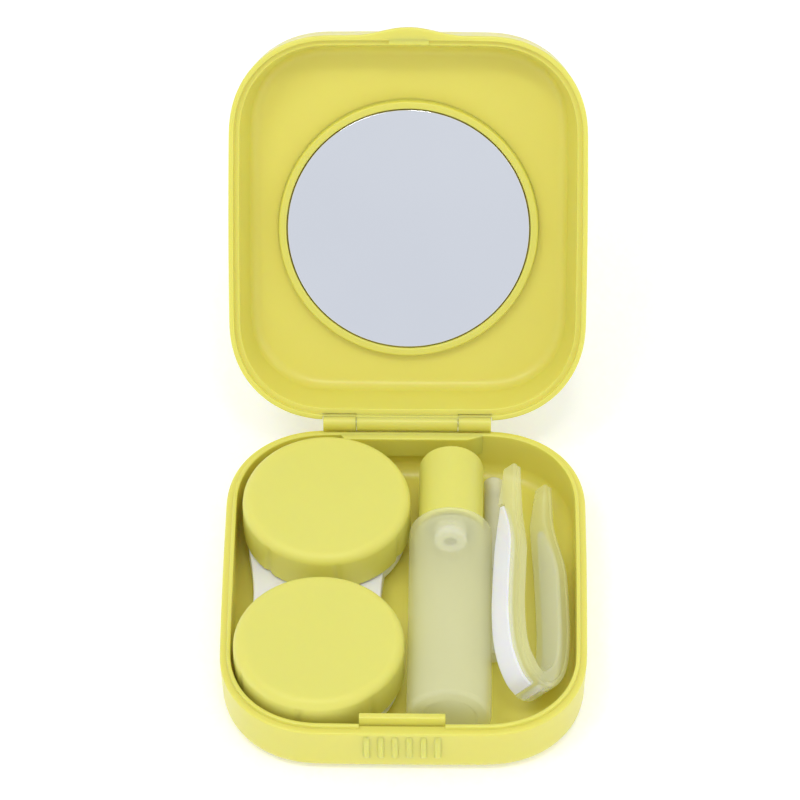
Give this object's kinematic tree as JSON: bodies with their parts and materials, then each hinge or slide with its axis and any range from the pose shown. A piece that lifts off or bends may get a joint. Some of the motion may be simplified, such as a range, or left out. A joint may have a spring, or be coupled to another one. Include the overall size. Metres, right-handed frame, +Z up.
{
  "type": "contact lens travel kit",
  "caption": "Hinged yellow contact lens travel case with a lid mirror, screw-cap lens case, solution bottle, soft-tip tweezers and lens applicator",
  "frame": {"origin": "centre of the flat underside of the base", "axes": "+X right and along the hinge, +Y from the latch towards the hinge, +Z up"},
  "size_m": [0.068, 0.1248, 0.0755],
  "materials": {
    "shell_yellow": "satin moulded plastic",
    "cap_yellow": "satin moulded plastic",
    "white_plastic": "smooth moulded plastic",
    "frosted_plastic": "frosted translucent plastic",
    "soft_clear": "soft translucent silicone",
    "mirror_silver": "flat mirror",
    "pin_steel": "drawn wire",
    "adhesive_foam": "thin foam tape"
  },
  "bodies": {
    "base": {"base_shell": "shell_yellow", "hinge_pin": "pin_steel"},
    "lid": {"lid_shell": "shell_yellow", "mirror": "mirror_silver", "mirror_adhesive_pad": "adhesive_foam"},
    "lens_case": {"lens_case_body": "white_plastic"},
    "rear_cap": {"rear_lens_cap": "cap_yellow"},
    "front_cap": {"front_lens_cap": "cap_yellow"},
    "bottle": {"bottle_body": "frosted_plastic", "bottle_nozzle": "white_plastic"},
    "bottle_cap": {"bottle_cap": "cap_yellow"},
    "tweezers": {"tweezer_spring_end": "soft_clear"},
    "left_arm": {"tweezer_left_leaf": "white_plastic", "tweezer_left_pad": "soft_clear"},
    "right_arm": {"tweezer_right_leaf": "white_plastic", "tweezer_right_pad": "soft_clear"},
    "applicator": {"applicator_handle": "frosted_plastic", "applicator_cup": "soft_clear"}
  },
  "joints": [
    {"name": "lid_hinge", "type": "hinge", "parent": "base", "child": "lid", "pos_m": [0, 0.0378, 0.0123], "axis": [1, 0, 0], "range_deg": [0, 124.5]},
    {"name": "lens_case_lift", "type": "slide", "parent": "base", "child": "lens_case", "axis": [0, 0, 1], "range_m": [0, 0.03]},
    {"name": "rear_cap_lift", "type": "slide", "parent": "lens_case", "child": "rear_cap", "axis": [0, 0, 1], "range_m": [0, 0.02]},
    {"name": "front_cap_lift", "type": "slide", "parent": "lens_case", "child": "front_cap", "axis": [0, 0, 1], "range_m": [0, 0.02]},
    {"name": "bottle_lift", "type": "slide", "parent": "base", "child": "bottle", "axis": [0, 0, 1], "range_m": [0, 0.03]},
    {"name": "bottle_cap_turn", "type": "hinge", "parent": "bottle", "child": "bottle_cap", "pos_m": [0.0085, 0.02, 0.00975], "axis": [0, 1, 0], "range_deg": [0, 360]},
    {"name": "tweezers_lift", "type": "slide", "parent": "bottle", "child": "tweezers", "axis": [0, 0, 1], "range_m": [0, 0.03]},
    {"name": "left_arm_squeeze", "type": "hinge", "parent": "tweezers", "child": "left_arm", "pos_m": [0.0213, -0.0214, 0.0076], "axis": [0.7071, 0, 0.7071], "range_deg": [-2.6, 0], "stiffness_Nm_per_rad": 0.05},
    {"name": "right_arm_squeeze", "type": "hinge", "parent": "tweezers", "child": "right_arm", "pos_m": [0.0213, -0.0214, 0.0076], "axis": [0.7071, 0, 0.7071], "range_deg": [0, 2.6], "stiffness_Nm_per_rad": 0.05},
    {"name": "applicator_slide", "type": "slide", "parent": "base", "child": "applicator", "axis": [0, -1, 0], "range_m": [0, 0.012]}
  ],
  "couplings": [
    {"joint": "left_arm_squeeze", "follows": "right_arm_squeeze", "ratio": -1}
  ]
}
